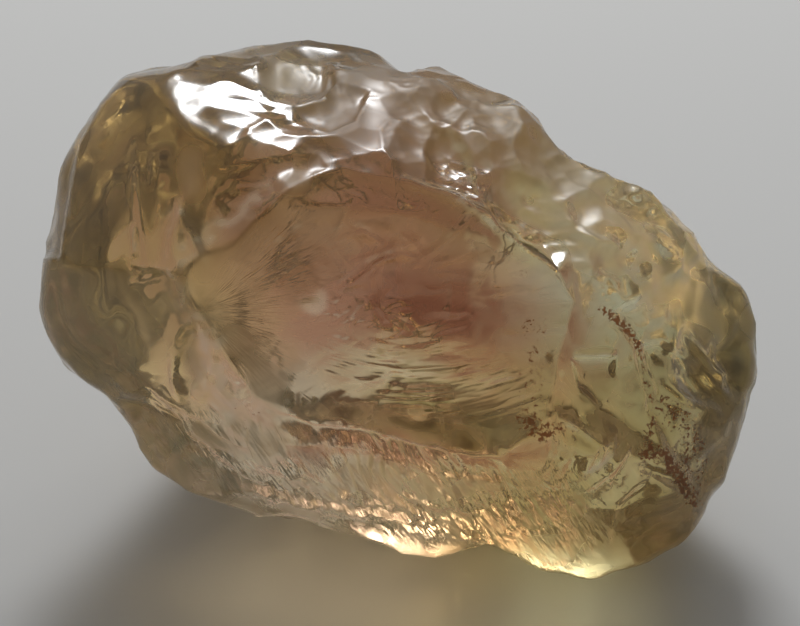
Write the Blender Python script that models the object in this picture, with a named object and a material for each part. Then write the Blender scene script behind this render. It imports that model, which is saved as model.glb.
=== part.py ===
"""A rough, uncut Oregon sunstone: one clear chip of plagioclase feldspar, broken on every side.

The chip is described with its broad face level: u runs along it, v across it and w up out of the
face, all in millimetres from a point inside it. An outline seen along w gives the blank. Breaks take
pieces off the blank: flat cleavage faces, shell-like scoops and low domes. Hollows, swells and small
scallops then model the faces. The finished chip is tipped onto the cleavage face that it rests on,
which puts that face level at Z = 0.
"""

import math

import bmesh
import bpy
import numpy as np
from mathutils import noise

MM = 0.001

# Driving dimensions, in millimetres
LENGTH = 22.0
HALF_DEPTH_FRONT = 7.0
HALF_DEPTH_BACK = 7.0
REST_HEIGHT = 6.9
FACE_TILT = math.radians(48.0)
CENTRE_SHIFT = -0.486

EDGE_ROUNDING = 0.09
BLANK_POWER = 2.3
DETAIL_BAND = 2.6
EDGE_CUTS = 60
TRIANGLES = 9000

# Every run bends the small scallops in the same way
noise.seed_set(7)

# The outline of the broad face: u, v of points round it, anticlockwise from the right-hand end
OUTLINE = [
    (10.98, -1.1), (10.96, -0.3), (10.74, 0.37), (10.3, 0.87), (9.7, 1.4), (9.2, 2.0), (8.75, 2.6),
    (8.25, 3.15), (7.7, 3.5), (6.9, 3.75), (6.15, 3.9), (5.6, 4.3), (5.0, 4.75), (4.55, 5.2),
    (4.1, 5.85), (3.55, 6.3), (2.95, 6.7), (2.2, 7.05), (1.25, 7.45), (0.7, 7.42), (0.1, 7.28),
    (-0.65, 7.75), (-1.55, 8.1), (-2.35, 8.45), (-3.05, 8.48), (-3.8, 8.23), (-4.75, 8.07),
    (-5.65, 7.8), (-6.4, 7.52), (-7.5, 7.37), (-8.4, 7.1), (-9.05, 6.5), (-9.55, 5.85),
    (-9.95, 5.25), (-10.3, 4.6), (-10.5, 3.85), (-10.63, 2.95), (-10.78, 2.1), (-10.95, 1.3),
    (-11.02, 0.25), (-10.9, -0.4), (-10.55, -1.25), (-10.1, -1.85), (-9.6, -2.3), (-9.05, -2.72),
    (-8.65, -3.25), (-8.2, -3.85), (-7.95, -4.5), (-7.45, -5.05), (-6.7, -5.5), (-5.8, -5.9),
    (-4.6, -6.23), (-3.35, -6.5), (-1.95, -6.87), (-0.4, -7.25), (0.8, -7.55), (1.85, -7.5),
    (2.65, -7.28), (3.5, -7.52), (4.27, -8.0), (5.2, -8.25), (6.0, -8.45), (6.85, -8.05),
    (7.7, -7.73), (8.47, -7.27), (9.05, -6.7), (9.5, -5.9), (10.05, -5.2), (10.45, -4.35),
    (10.6, -3.45), (10.72, -2.7), (10.95, -2.2),
]


def direction(azimuth, elevation):
    flat = math.cos(elevation)
    return np.array((flat * math.cos(azimuth), flat * math.sin(azimuth), math.sin(elevation)))


class Break:
    """One break of the chip: where its middle is, which way it faces, and how it curves there."""

    def __init__(self, middle, facing, hollow=(0.0, 0.0), turn=0.0):
        """facing is its azimuth in the broad face and its elevation out of it, in degrees.
        hollow is how strongly it curves along and across, in 1/mm, negative on a dome."""
        azimuth, elevation = (math.radians(a) for a in facing)
        self.middle = np.array(middle)
        self.out = direction(azimuth, elevation)
        along = direction(azimuth + math.pi / 2, 0.0)
        across = np.cross(self.out, along)
        c, s = math.cos(math.radians(turn)), math.sin(math.radians(turn))
        self.along = c * along + s * across
        self.across = c * across - s * along
        self.hollow = hollow

    def above(self, points):
        """About how far points are outside the break."""
        rel = points - self.middle
        s, t = rel @ self.along, rel @ self.across
        ks, kt = self.hollow
        height = rel @ self.out - ks * s**2 / 2 - kt * t**2 / 2
        return height / np.sqrt(1 + (ks * s) ** 2 + (kt * t) ** 2)


BREAKS = [
    # The broad face, from left to right
    Break((-8.7, 3.6, 3.2), (155, 42), (-0.03, -0.05)),
    Break((-8.9, -1.0, 3.0), (205, 42), (-0.02, -0.04)),
    Break((-4.6, 3.5, 5.5), (128, 64), (0.03, 0.04)),
    Break((-4.6, 6.8, 2.6), (86, 27), (-0.02, 0.0)),
    Break((-5.4, 5.95, 3.65), (88, 43), (0.1, 0.0), -42),
    Break((0.0, -0.4, 4.4), (-90, 80), (0.05, 0.09), 15),
    Break((2.5, 4.5, 4.0), (62, 50), (0.0, 0.03)),
    Break((7.1, 2.1, 3.1), (50, 48), (-0.04, 0.0)),
    Break((8.9, -0.7, 2.6), (5, 40), (0.02, 0.0)),
    Break((8.1, -5.7, 2.2), (-40, 45), (-0.06, -0.07)),
    Break((5.9, -2.2, 4.3), (-15, 68), (0.0, 0.04)),
    Break((-2.1, -4.7, 3.6), (-100, 44), (0.02, 0.03)),
    Break((-6.4, -4.0, 1.8), (-132, 42), (0.03, 0.0)),
    Break((4.3, -5.9, 2.6), (-82, 46), (0.0, 0.05)),
    # The back
    Break((0.0, 6.0, -3.8), (90, -32), (0.03, 0.02)),
    Break((-8.0, 0.5, -4.0), (172, -42), (0.02, 0.03)),
    Break((8.0, -1.0, -4.2), (8, -46), (0.0, 0.04)),
    Break((-5.0, 4.0, -4.4), (128, -50), (0.04, 0.02)),
    Break((5.0, 3.0, -4.6), (48, -56), (0.05, 0.0)),
    Break((0.5, 1.5, -5.3), (82, -72), (0.1, 0.12), 20),
    Break((-7.2, 2.2, -4.6), (160, -58), (0.16, 0.2), 30),
    Break((6.6, 3.6, -4.2), (40, -44), (0.14, 0.18), -25),
    Break((-1.5, 7.5, -2.4), (96, -22), (0.15, 0.1), 10),
    Break((9.0, -3.6, -3.0), (-10, -36), (0.16, 0.14), 0),
    Break((-6.0, -4.0, -3.0), (-148, -38), (0.0, 0.03)),
    Break((7.3, -5.9, -3.1), (-35, -34), (0.03, 0.0)),
]


class Hollow:
    """A hollow in the broad face: the u, v corners round it, how deep, and how soon it gets deep."""

    def __init__(self, corners, depth, reach):
        self.corners = np.array(corners)
        self.depth = depth
        self.reach = reach

    def inside(self, u, v):
        """About how far each point is inside the hollow's rim, smooth away from it, negative outside."""
        nearness = np.zeros(len(u))
        within = np.zeros(len(u), dtype=bool)
        for (au, av), (bu, bv) in zip(self.corners, np.roll(self.corners, -1, axis=0)):
            du, dv = bu - au, bv - av
            share = np.clip(((u - au) * du + (v - av) * dv) / (du * du + dv * dv), 0, 1)
            away = np.hypot(u - au - share * du, v - av - share * dv)
            nearness += 1 / np.maximum(away, 1e-4) ** 4
            crosses = (av > v) != (bv > v)
            within ^= crosses & (u < du * (v - av) / (dv if dv else 1e-9) + au)
        nearest = nearness**-0.25
        return np.where(within, nearest, -nearest)

    def taken(self, u, v):
        depth = np.maximum(self.inside(u, v), 0)
        return self.depth * depth / (depth + self.reach)


class Swell:
    """A rounded lump on the broad face, or a dent where its height is negative."""

    def __init__(self, middle, half_sizes, turn, height):
        self.middle = middle
        self.half_sizes = half_sizes
        self.turn = math.radians(turn)
        self.height = height

    def taken(self, u, v):
        u, v = u - self.middle[0], v - self.middle[1]
        c, s = math.cos(self.turn), math.sin(self.turn)
        along, across = (c * u + s * v) / self.half_sizes[0], (c * v - s * u) / self.half_sizes[1]
        return -self.height * np.exp(-(along**2 + across**2) * 0.9)


CENTRAL_SCOOP = Hollow(
    [(-5.6, 0.2), (-5.0, 1.4), (-4.2, 2.6), (-3.3, 3.4), (-2.7, 3.9), (-1.7, 4.2), (-0.6, 3.9),
     (0.6, 3.6), (1.9, 3.1), (3.0, 2.3), (4.0, 1.6), (4.8, 1.1), (5.2, 0.2), (4.9, -1.0),
     (4.6, -2.2), (4.2, -3.4), (3.0, -4.4), (1.7, -4.3), (0.0, -3.9), (-1.7, -3.4), (-3.0, -3.1),
     (-4.2, -2.7), (-5.0, -1.9), (-5.6, -0.8)],
    1.3, 1.1,
)
AMBER_FACE = Hollow(
    [(-5.4, 4.2), (-4.2, 4.4), (-2.4, 4.6), (-2.1, 4.2), (-3.0, 3.7), (-4.0, 3.0), (-4.6, 2.2),
     (-5.6, 1.1), (-6.1, 1.9), (-6.0, 3.2)],
    0.35, 0.5,
)
LEFT_FLAP = Hollow(
    [(-9.3, 6.0), (-9.7, 5.0), (-9.9, 3.9), (-10.1, 2.9), (-10.3, 1.5), (-11.6, 1.5), (-11.6, 6.1)],
    0.3, 0.15,
)
LOW_LEDGE = Hollow(
    [(-8.8, -2.8), (-7.6, -2.4), (-6.1, -3.3), (-4.3, -4.5), (-2.7, -5.6), (0.0, -6.1),
     (2.2, -7.1), (3.1, -7.3), (2.5, -9.6), (-9.2, -7.7), (-9.8, -4.1)],
    0.7, 0.45,
)
LENS = Hollow(
    [(-6.0, -0.4), (-5.7, -1.1), (-5.8, -2.0), (-6.3, -2.7), (-6.7, -2.2), (-6.8, -1.4), (-6.5, -0.6)],
    0.22, 0.25,
)
GREEN_HOLLOW = Hollow(
    [(2.4, 3.3), (3.1, 4.1), (4.3, 3.8), (4.9, 2.9), (5.1, 1.8), (4.8, 1.1), (4.0, 1.6), (3.0, 2.3)],
    0.8, 0.6,
)
PALE_STEP = Hollow(
    [(0.8, 4.8), (1.0, 5.4), (1.7, 5.2), (2.2, 4.4), (2.4, 3.3), (1.4, 3.5), (0.8, 3.8)], 0.35, 0.3
)
RIGHT_STEP = Hollow(
    [(6.2, -0.1), (7.1, -1.1), (7.4, -2.2), (7.5, -3.1), (7.9, -4.1), (8.6, -5.0), (9.2, -5.8),
     (11.1, -6.5), (11.7, 0.2), (9.8, 2.1), (8.6, 1.5), (7.4, 0.6)],
    0.35, 0.5,
)
RIGHT_WINDOW = Hollow(
    [(7.4, -1.1), (8.2, -1.0), (9.2, -1.7), (10.2, -2.8), (10.0, -3.2), (8.9, -3.1), (7.9, -2.7)],
    0.3, 0.3,
)
RIGHT_NOTCH = Hollow([(5.2, -1.5), (6.5, -1.4), (6.5, -2.2), (5.9, -2.9), (5.4, -2.4)], 0.4, 0.3)
LOW_FOLD = Hollow(
    [(-4.0, -3.0), (-1.7, -3.4), (0.0, -3.9), (1.7, -4.3), (3.0, -4.5), (3.7, -5.3), (2.2, -5.1),
     (0.0, -4.7), (-2.1, -4.1), (-3.7, -3.6)],
    0.35, 0.3,
)
EYE = Hollow(
    [(-1.9, 6.8), (-2.1, 7.6), (-2.8, 8.0), (-3.6, 7.9), (-4.2, 7.4), (-4.3, 6.8), (-3.9, 6.3),
     (-3.1, 6.1), (-2.4, 6.3)],
    0.5, 0.4,
)
RIBBED_HOLLOW = Hollow(
    [(-0.9, 6.6), (-1.3, 5.6), (-2.1, 5.2), (-3.1, 5.6), (-3.2, 6.1), (-2.4, 6.3), (-1.9, 6.8)],
    0.45, 0.4,
)
HOLLOWS = [
    CENTRAL_SCOOP, AMBER_FACE, LEFT_FLAP, LOW_LEDGE, LENS, GREEN_HOLLOW, PALE_STEP, RIGHT_STEP,
    RIGHT_WINDOW, RIGHT_NOTCH, LOW_FOLD, EYE, RIBBED_HOLLOW,
]

SWELLS = [
    Swell((-7.6, 3.0), (0.25, 1.7), 8, 0.1),
    Swell((-6.4, 2.6), (0.25, 1.4), -18, 0.1),
    Swell((-4.2, 5.2), (2.2, 0.6), -25, 0.05),
    Swell((2.6, 4.9), (0.8, 0.5), -35, 0.35),
    Swell((3.6, 5.4), (0.5, 0.9), 20, 0.3),
    Swell((6.3, 2.4), (0.9, 0.6), 30, 0.35),
    Swell((7.7, 1.9), (0.7, 0.5), -40, 0.4),
    Swell((5.6, 3.0), (0.45, 0.8), 10, 0.25),
    Swell((1.0, 6.5), (0.7, 0.5), 10, 0.3),
    Swell((5.7, -4.1), (0.6, 1.0), -20, 0.35),
    Swell((6.4, -5.0), (0.9, 0.7), 30, 0.35),
    Swell((4.6, -6.3), (1.1, 0.5), -30, 0.3),
    Swell((1.4, -5.7), (1.2, 0.4), -20, 0.25),
    Swell((-1.7, -5.1), (1.3, 0.4), -24, 0.25),
    Swell((10.3, -1.5), (0.35, 0.5), 15, -0.5),
    Swell((10.5, -2.4), (0.25, 0.3), 0, -0.35),
]


def smooth_outline(angles):
    """The outline's distance from the middle at each angle, by a closed Catmull-Rom curve."""
    points = np.array(OUTLINE) * (LENGTH / 22.0)
    share = np.linspace(0.0, 1.0, 30, endpoint=False)[:, None]
    runs = []
    for i in range(len(points)):
        a, b, c, d = (points[(i + k) % len(points)] for k in (-1, 0, 1, 2))
        cubic = (3 * (b - c) + d - a) * share**3 + (2 * a - 5 * b + 4 * c - d) * share**2
        runs.append((cubic + (c - a) * share + 2 * b) / 2)
    curve = np.concatenate(runs)
    at = np.arctan2(curve[:, 1], curve[:, 0])
    order = np.argsort(at)
    return np.interp(angles, at[order], np.hypot(*curve.T)[order], period=2 * math.pi)


def broad_outline(angles, harmonics=4):
    """The outline with its small bumps left out, from its first few harmonics."""
    even = np.linspace(-math.pi, math.pi, 720, endpoint=False)
    radii = smooth_outline(even)
    total = np.full_like(angles, radii.mean())
    for k in range(1, harmonics + 1):
        total += 2 * (radii * np.cos(k * even)).mean() * np.cos(k * angles)
        total += 2 * (radii * np.sin(k * even)).mean() * np.sin(k * angles)
    return total


def above_blank(points, broad, close):
    """About how far points are outside the blank, whose widest section has the outline."""
    u, v, w = points.T
    reach = broad + (close - broad) * np.exp(-((w / DETAIL_BAND) ** 2))
    depth = np.where(w > 0, HALF_DEPTH_FRONT, HALF_DEPTH_BACK)
    size = (np.hypot(u, v) / reach) ** BLANK_POWER + (np.abs(w) / depth) ** BLANK_POWER
    return (size ** (1 / BLANK_POWER) - 1) * np.linalg.norm(points, axis=1)


def reach_of(directions):
    """How far the broken blank's surface is from its middle in each direction, by halving."""
    angles = np.arctan2(directions[:, 1], directions[:, 0])
    broad, close = broad_outline(angles), smooth_outline(angles)
    low = np.full(len(directions), 1.0)
    high = np.full(len(directions), LENGTH * 0.8)
    for _ in range(20):
        middle = (low + high) / 2
        points = directions * middle[:, None]
        each = np.stack([above_blank(points, broad, close)] + [cut.above(points) for cut in BREAKS])
        most = each.max(axis=0)
        above = most + EDGE_ROUNDING * np.log(np.exp((each - most) / EDGE_ROUNDING).sum(axis=0))
        high = np.where(above > 0, middle, high)
        low = np.where(above > 0, low, middle)
    return (low + high) / 2


def smoothstep(low, high, x):
    t = np.clip((x - low) / (high - low), 0, 1)
    return t * t * (3 - 2 * t)


SMOOTH_LEFT = Hollow(
    [(-11.5, 6.5), (-7.5, 7.6), (-5.6, 5.6), (-5.2, 3.4), (-5.6, 1.0), (-5.6, -2.6), (-8.0, -2.4),
     (-10.5, -2.2), (-12.0, 0.0)],
    1.0, 1.0,
)


def scallops(points, size):
    """Small shell-like hollows that meet in sharp ridges: 0 in their middles, about 1 on ridges."""
    return np.array([min(noise.voronoi(p)[0][0], 1.0) ** 2 for p in points / size])


def taken_off(points):
    """How much the hollows, swells and scallops take off the broken blank, in millimetres."""
    u, v, w = points.T
    front = smoothstep(0.0, 1.6, w)
    off = sum(shape.taken(u, v) for shape in HOLLOWS + SWELLS) * front
    rough = 1 - 0.8 * smoothstep(-0.3, 0.6, SMOOTH_LEFT.inside(u, v)) * front
    warp = np.array([noise.noise_vector(p)[:] for p in points / 2.2])
    off -= 0.3 * rough * (scallops(points + 0.7 * warp, 2.3) - 0.35)
    off -= 0.14 * rough * (scallops(points + 0.5 * warp + 9.0, 1.1) - 0.35)
    return off


def ball(cuts_per_edge):
    """A ball of even triangles, as a bmesh."""
    mesh = bmesh.new()
    bmesh.ops.create_icosphere(mesh, subdivisions=1, radius=1.0)
    bmesh.ops.subdivide_edges(mesh, edges=mesh.edges, cuts=cuts_per_edge, use_grid_fill=True)
    for vertex in mesh.verts:
        vertex.co.normalize()
    return mesh


def tipped(points):
    """Points of the chip as it rests, in metres."""
    u, v, w = points.T
    c, s = math.cos(FACE_TILT), math.sin(FACE_TILT)
    across, up = c * v - s * w + CENTRE_SHIFT, s * v + c * w + REST_HEIGHT
    return np.stack([u, across, up], axis=1) * MM


def chip_points(directions):
    points = directions * reach_of(directions)[:, None]
    return points - directions * taken_off(points)[:, None]


def cut_rest_face(mesh):
    """Cuts the chip off level at Z = 0, which leaves the cleavage face that it rests on."""
    everything = mesh.verts[:] + mesh.edges[:] + mesh.faces[:]
    bmesh.ops.bisect_plane(
        mesh, geom=everything, dist=0.02 * MM,
        plane_co=(0, 0, 0), plane_no=(0, 0, -1), clear_outer=True,
    )
    rim = [edge for edge in mesh.edges if edge.is_boundary]
    for edge in rim:
        for vertex in edge.verts:
            vertex.co.z = 0.0
    bmesh.ops.contextual_create(mesh, geom=rim)


def thinned(stone, triangles):
    """The object's mesh brought down to about that many triangles, as a bmesh."""
    thin = stone.modifiers.new("thin", "DECIMATE")
    thin.ratio = triangles / len(stone.data.polygons)
    bpy.context.view_layer.update()
    mesh = bmesh.new()
    mesh.from_object(stone, bpy.context.evaluated_depsgraph_get())
    stone.modifiers.clear()
    return mesh


def main():
    for old in list(bpy.data.objects):
        bpy.data.objects.remove(old)
    mesh = ball(EDGE_CUTS)
    directions = np.array([vertex.co[:] for vertex in mesh.verts])
    for vertex, place in zip(mesh.verts, tipped(chip_points(directions))):
        vertex.co = place
    data = bpy.data.meshes.new("sunstone")
    mesh.to_mesh(data)
    mesh.free()
    stone = bpy.data.objects.new("sunstone", data)
    bpy.context.scene.collection.objects.link(stone)

    mesh = thinned(stone, TRIANGLES)
    cut_rest_face(mesh)
    mesh.to_mesh(data)
    mesh.free()

    feldspar = bpy.data.materials.new("feldspar")
    feldspar.use_nodes = True
    surface = feldspar.node_tree.nodes["Principled BSDF"]
    surface.inputs["Base Color"].default_value = (0.62, 0.44, 0.27, 1.0)
    surface.inputs["Roughness"].default_value = 0.1
    surface.inputs["Transmission Weight"].default_value = 1.0
    surface.inputs["IOR"].default_value = 1.56
    data.materials.append(feldspar)


main()
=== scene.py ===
"""A rough Oregon sunstone as photographed: clear feldspar on pale paper, lit by a window behind it.

The stone is made like its solid, with its broad face level: u runs along it, v across it and w up out
of it, in millimetres from a point inside it. An outline gives the blank, breaks take pieces off it,
and hollows, swells and scallops model the faces. Then come the fine marks that the solid is too
coarse for. Colours and masks are painted on the finished mesh's points.
"""

import math

import bmesh
import bpy
import numpy as np
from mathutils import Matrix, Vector, noise


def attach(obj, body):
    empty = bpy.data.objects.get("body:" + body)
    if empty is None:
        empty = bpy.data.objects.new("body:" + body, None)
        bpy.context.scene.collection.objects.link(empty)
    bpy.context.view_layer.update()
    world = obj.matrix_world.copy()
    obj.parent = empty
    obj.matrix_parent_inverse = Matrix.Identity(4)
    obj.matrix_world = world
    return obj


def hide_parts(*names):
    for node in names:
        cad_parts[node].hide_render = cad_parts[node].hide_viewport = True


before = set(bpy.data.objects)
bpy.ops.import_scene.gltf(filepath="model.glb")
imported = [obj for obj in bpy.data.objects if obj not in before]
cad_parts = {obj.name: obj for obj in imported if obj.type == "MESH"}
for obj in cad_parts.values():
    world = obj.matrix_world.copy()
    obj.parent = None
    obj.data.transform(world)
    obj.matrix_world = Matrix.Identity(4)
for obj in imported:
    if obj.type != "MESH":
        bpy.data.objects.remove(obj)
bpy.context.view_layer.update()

MM = 0.001

# Driving dimensions, in millimetres
LENGTH = 22.0
HALF_DEPTH_FRONT = 7.0
HALF_DEPTH_BACK = 7.0
REST_HEIGHT = 6.9
FACE_TILT = math.radians(48.0)
CENTRE_SHIFT = -0.486

EDGE_ROUNDING = 0.09
BLANK_POWER = 2.3
DETAIL_BAND = 2.6

# The fine mesh: how finely the ball is cut, and how much more finely on the broad face
EDGE_CUTS = 98
FRONT_SHARE = 0.38
SHARP_EDGE = math.radians(55)

# Every run bends the scallops, chips and patches in the same way
BEND_SEED = 7
noise.seed_set(BEND_SEED)

# In w, where the broad face's marks fade in, and where the back's fade out
FRONT_FADE = (0.0, 1.6)
BACK_FADE = (-2.0, -0.2)

# In u, where the clear left block gives way to the back's marks, and to the full creases
LEFT_BACK_FADE = (-7.0, -4.5)
LEFT_CREASE_FADE = (-6.0, -4.5)

# The usual height of a scallop, which is taken out so that faces keep their places
SCALLOP_LEVEL = 0.35

# Where the scoop's break began, the middles of the ripples and of their finest rings, and how far
# the low band's streaks are turned from u, in degrees
FAN_START = (-5.9, -0.1)
RIPPLE_MIDDLE = (0.4, 4.2)
RING_MIDDLE = (0.4, 5.5)
STREAK_TURN = -57

# How high the fine marks stand on the mesh, in millimetres
WISPS = 0.10
SWIRLS = 0.08
FEATHERS = 0.07
RIPPLES = 0.10
FAN_LINES = 0.02
STREAKS = 0.14
LOW_SCALLOPS = 0.16
DASHES = 0.10
CHIPS = 0.34
CRUMBS = 0.15
BACK_SCALLOPS = 0.4
REST_WAVES = 0.05

# How high the finest lines stand, which only bend the light, in millimetres
FAN_BUMP = 0.012
RIPPLE_BUMP = 0.09
STREAK_BUMP = 0.06

# Feldspar, its copper-coloured depth, the painted whitish sheen on crinkles and creases, and the rust
FELDSPAR_IOR = 1.56
DEPTH_COLOUR = (0.84, 0.6, 0.08, 1.0)
DEPTH_DENSITY = 26.0
PAINTED_SHEEN_COLOUR = (0.97, 0.95, 0.88, 1.0)
RUST_COLOUR = (0.15, 0.032, 0.006, 1.0)

# How dull the kinds of surface are, from 0 to 1, and their roughness when clear and when dull
DULLNESS = {
    "chipped": 0.55, "lumpy": 0.35, "low": 0.5, "pitted": 0.5, "fanned": 0.3, "back": 0.5,
    "rippled": 0.35,
}
FAR_SIDE_DULLNESS = 0.95
CLEAR_ROUGHNESS = 0.04
DULL_ROUGHNESS = 0.56

# Light, room and paper, in metres and watts
WINDOW_PLACE = (0.0, 0.125, 0.112)
WINDOW_SIZE = (0.046, 0.032)
WINDOW_POWER = 0.17
WINDOW_COLOUR = (0.96, 0.98, 1.0)
CURTAIN_PLACE = (0.0, 0.13, 0.118)
CURTAIN_SIZE = (0.16, 0.1)
CURTAIN_POWER = 0.12
CURTAIN_COLOUR = (1.0, 0.97, 0.92)
ROOM_DARK = 0.15
ROOM_BRIGHT = 0.4
PAPER_HALF = 0.6
PAPER_DROP = 0.00005
PAPER_COLOUR = (0.5, 0.5, 0.495, 1.0)
PAPER_ROUGHNESS = 0.9

# The camera looks square onto the broad face
CAMERA_DISTANCE = 0.15
SENSOR_WIDTH = 36.0
PIXELS_LONG = 717
PICTURE_WIDTH = 800
PIXELS_RIGHT = 1
PIXELS_DOWN = 5

# The outline of the broad face: u, v of points round it, anticlockwise from the right-hand end
OUTLINE = [
    (10.98, -1.1), (10.96, -0.3), (10.74, 0.37), (10.3, 0.87), (9.7, 1.4), (9.2, 2.0), (8.75, 2.6),
    (8.25, 3.15), (7.7, 3.5), (6.9, 3.75), (6.15, 3.9), (5.6, 4.3), (5.0, 4.75), (4.55, 5.2),
    (4.1, 5.85), (3.55, 6.3), (2.95, 6.7), (2.2, 7.05), (1.25, 7.45), (0.7, 7.42), (0.1, 7.28),
    (-0.65, 7.75), (-1.55, 8.1), (-2.35, 8.45), (-3.05, 8.48), (-3.8, 8.23), (-4.75, 8.07),
    (-5.65, 7.8), (-6.4, 7.52), (-7.5, 7.37), (-8.4, 7.1), (-9.05, 6.5), (-9.55, 5.85),
    (-9.95, 5.25), (-10.3, 4.6), (-10.5, 3.85), (-10.63, 2.95), (-10.78, 2.1), (-10.95, 1.3),
    (-11.02, 0.25), (-10.9, -0.4), (-10.55, -1.25), (-10.1, -1.85), (-9.6, -2.3), (-9.05, -2.72),
    (-8.65, -3.25), (-8.2, -3.85), (-7.95, -4.5), (-7.45, -5.05), (-6.7, -5.5), (-5.8, -5.9),
    (-4.6, -6.23), (-3.35, -6.5), (-1.95, -6.87), (-0.4, -7.25), (0.8, -7.55), (1.85, -7.5),
    (2.65, -7.28), (3.5, -7.52), (4.27, -8.0), (5.2, -8.25), (6.0, -8.45), (6.85, -8.05),
    (7.7, -7.73), (8.47, -7.27), (9.05, -6.7), (9.5, -5.9), (10.05, -5.2), (10.45, -4.35),
    (10.6, -3.45), (10.72, -2.7), (10.95, -2.2),
]


def direction(azimuth, elevation):
    flat = math.cos(elevation)
    return np.array((flat * math.cos(azimuth), flat * math.sin(azimuth), math.sin(elevation)))


class Break:
    """One break of the chip: where its middle is, which way it faces, and how it curves there."""

    def __init__(self, middle, facing, hollow=(0.0, 0.0), turn=0.0):
        """facing is its azimuth in the broad face and its elevation out of it, in degrees.
        hollow is how strongly it curves along and across, in 1/mm, negative on a dome."""
        azimuth, elevation = (math.radians(a) for a in facing)
        self.middle = np.array(middle)
        self.out = direction(azimuth, elevation)
        along = direction(azimuth + math.pi / 2, 0.0)
        across = np.cross(self.out, along)
        c, s = math.cos(math.radians(turn)), math.sin(math.radians(turn))
        self.along = c * along + s * across
        self.across = c * across - s * along
        self.hollow = hollow

    def above(self, points):
        """About how far points are outside the break."""
        rel = points - self.middle
        s, t = rel @ self.along, rel @ self.across
        ks, kt = self.hollow
        height = rel @ self.out - ks * s**2 / 2 - kt * t**2 / 2
        return height / np.sqrt(1 + (ks * s) ** 2 + (kt * t) ** 2)


BREAKS = [
    # The broad face, from left to right
    Break((-8.7, 3.6, 3.2), (155, 42), (-0.03, -0.05)),
    Break((-8.9, -1.0, 3.0), (205, 42), (-0.02, -0.04)),
    Break((-4.6, 3.5, 5.5), (128, 64), (0.03, 0.04)),
    Break((-4.6, 6.8, 2.6), (86, 27), (-0.02, 0.0)),
    Break((-5.4, 5.95, 3.65), (84, 42), (0.0, 0.05), -42),
    Break((0.0, -0.4, 4.4), (-90, 80), (0.05, 0.09), 15),
    Break((2.5, 4.5, 4.0), (62, 50), (0.0, 0.03)),
    Break((7.1, 2.1, 3.1), (50, 48), (-0.04, 0.0)),
    Break((8.9, -0.7, 2.6), (5, 40), (0.02, 0.0)),
    Break((8.1, -5.7, 2.2), (-40, 45), (-0.06, -0.07)),
    Break((5.9, -2.2, 4.3), (-15, 68), (0.0, 0.04)),
    Break((-2.1, -4.7, 3.6), (-100, 44), (0.02, 0.03)),
    Break((-6.4, -4.0, 1.8), (-132, 42), (0.03, 0.0)),
    Break((4.3, -5.9, 2.6), (-82, 46), (0.0, 0.05)),
    # The back
    Break((0.0, 6.0, -3.8), (90, -32), (0.03, 0.02)),
    Break((-8.0, 0.5, -4.0), (172, -42), (0.02, 0.03)),
    Break((8.0, -1.0, -4.2), (8, -46), (0.0, 0.04)),
    Break((-5.0, 4.0, -4.4), (128, -50), (0.04, 0.02)),
    Break((5.0, 3.0, -4.6), (48, -56), (0.05, 0.0)),
    Break((0.5, 1.5, -5.3), (82, -72), (0.1, 0.12), 20),
    Break((-7.2, 2.2, -4.6), (160, -58), (0.16, 0.2), 30),
    Break((6.6, 3.6, -4.2), (40, -44), (0.14, 0.18), -25),
    Break((-1.5, 7.5, -2.4), (96, -22), (0.15, 0.1), 10),
    Break((9.0, -3.6, -3.0), (-10, -36), (0.16, 0.14), 0),
    Break((-6.0, -4.0, -3.0), (-148, -38), (0.0, 0.03)),
    Break((7.3, -5.9, -3.1), (-35, -34), (0.03, 0.0)),
]


def nearest(u, v, start, end):
    """For each place, how far along a line its nearest point is, from 0 to 1, and how far away."""
    (au, av), (bu, bv) = start, end
    du, dv = bu - au, bv - av
    share = np.clip(((u - au) * du + (v - av) * dv) / (du * du + dv * dv), 0, 1)
    return share, np.hypot(u - au - share * du, v - av - share * dv)


class Region:
    """A part of the broad face, by the u, v corners round it."""

    def __init__(self, corners):
        self.corners = np.array(corners)

    def inside(self, u, v):
        """About how far each point is inside the rim, smooth away from it, negative outside."""
        nearness = np.zeros(len(u))
        within = np.zeros(len(u), dtype=bool)
        for start, end in zip(self.corners, np.roll(self.corners, -1, axis=0)):
            away = nearest(u, v, start, end)[1]
            nearness += 1 / np.maximum(away, 1e-4) ** 4
            (au, av), (bu, bv) = start, end
            crosses = (av > v) != (bv > v)
            within ^= crosses & (u < (bu - au) * (v - av) / (bv - av if bv != av else 1e-9) + au)
        inwards = nearness**-0.25
        return np.where(within, inwards, -inwards)

    def mask(self, u, v, edge):
        """1 inside the region and 0 outside it, with an edge this soft."""
        return smoothstep(-edge, edge, self.inside(u, v))


class Hollow(Region):
    """A hollow in the broad face: also how deep it is, and how soon it gets deep."""

    def __init__(self, corners, depth, reach):
        super().__init__(corners)
        self.depth = depth
        self.reach = reach

    def taken(self, u, v):
        depth = np.maximum(self.inside(u, v), 0)
        return self.depth * depth / (depth + self.reach)


class Swell:
    """A rounded lump on the broad face, or a dent where its height is negative."""

    def __init__(self, middle, half_sizes, turn, height):
        self.middle = middle
        self.half_sizes = half_sizes
        self.turn = math.radians(turn)
        self.height = height

    def taken(self, u, v):
        u, v = u - self.middle[0], v - self.middle[1]
        c, s = math.cos(self.turn), math.sin(self.turn)
        along, across = (c * u + s * v) / self.half_sizes[0], (c * v - s * u) / self.half_sizes[1]
        return -self.height * np.exp(-(along**2 + across**2) * 0.9)


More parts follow.
